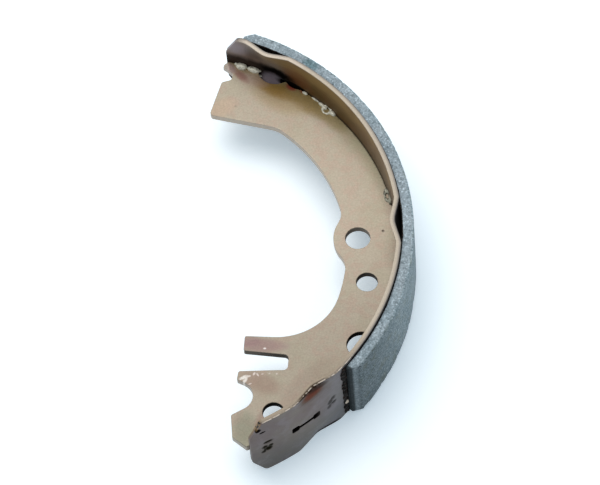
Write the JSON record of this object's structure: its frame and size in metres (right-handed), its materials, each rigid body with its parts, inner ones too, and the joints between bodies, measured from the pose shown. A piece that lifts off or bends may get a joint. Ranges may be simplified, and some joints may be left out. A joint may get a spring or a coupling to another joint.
{
  "type": "brake shoe",
  "caption": "Drum brake shoe: a stamped web welded inside a rolled rim, with a bonded friction lining; heel nose at one end, adjuster fork and cylinder notch at the other.",
  "frame": {"origin": "middle of the hold-down hole, half-way through the web's thickness; the drum's axis is 78 mm away along -X", "axes": "+Z along the hole and parallel to the drum's axis; +X from the drum's axis through the hole to the lining; +Y towards the heel, -Y towards the toe with the adjuster fork"},
  "size_m": [0.0764, 0.1798, 0.0356],
  "materials": {
    "web_steel": "zinc-passivated sheet steel, dull tan, rolled grain, heat tint beside the welds",
    "rim_steel": "passivated strip steel, dark grey-violet to brown, pale bare edges, rust in one ledge mark",
    "friction_lining": "moulded friction material, blue-grey, ground face, fine light and dark specks",
    "adhesive": "cured bonding adhesive, black, slightly glossy where it ran out",
    "weld_metal": "projection-weld nuggets, pale yellowish steel"
  },
  "bodies": {
    "root": {"web": "web_steel", "rim": "rim_steel", "lining": "friction_lining", "bond_film": "adhesive", "weld_lumps": "weld_metal"}
  },
  "joints": []
}
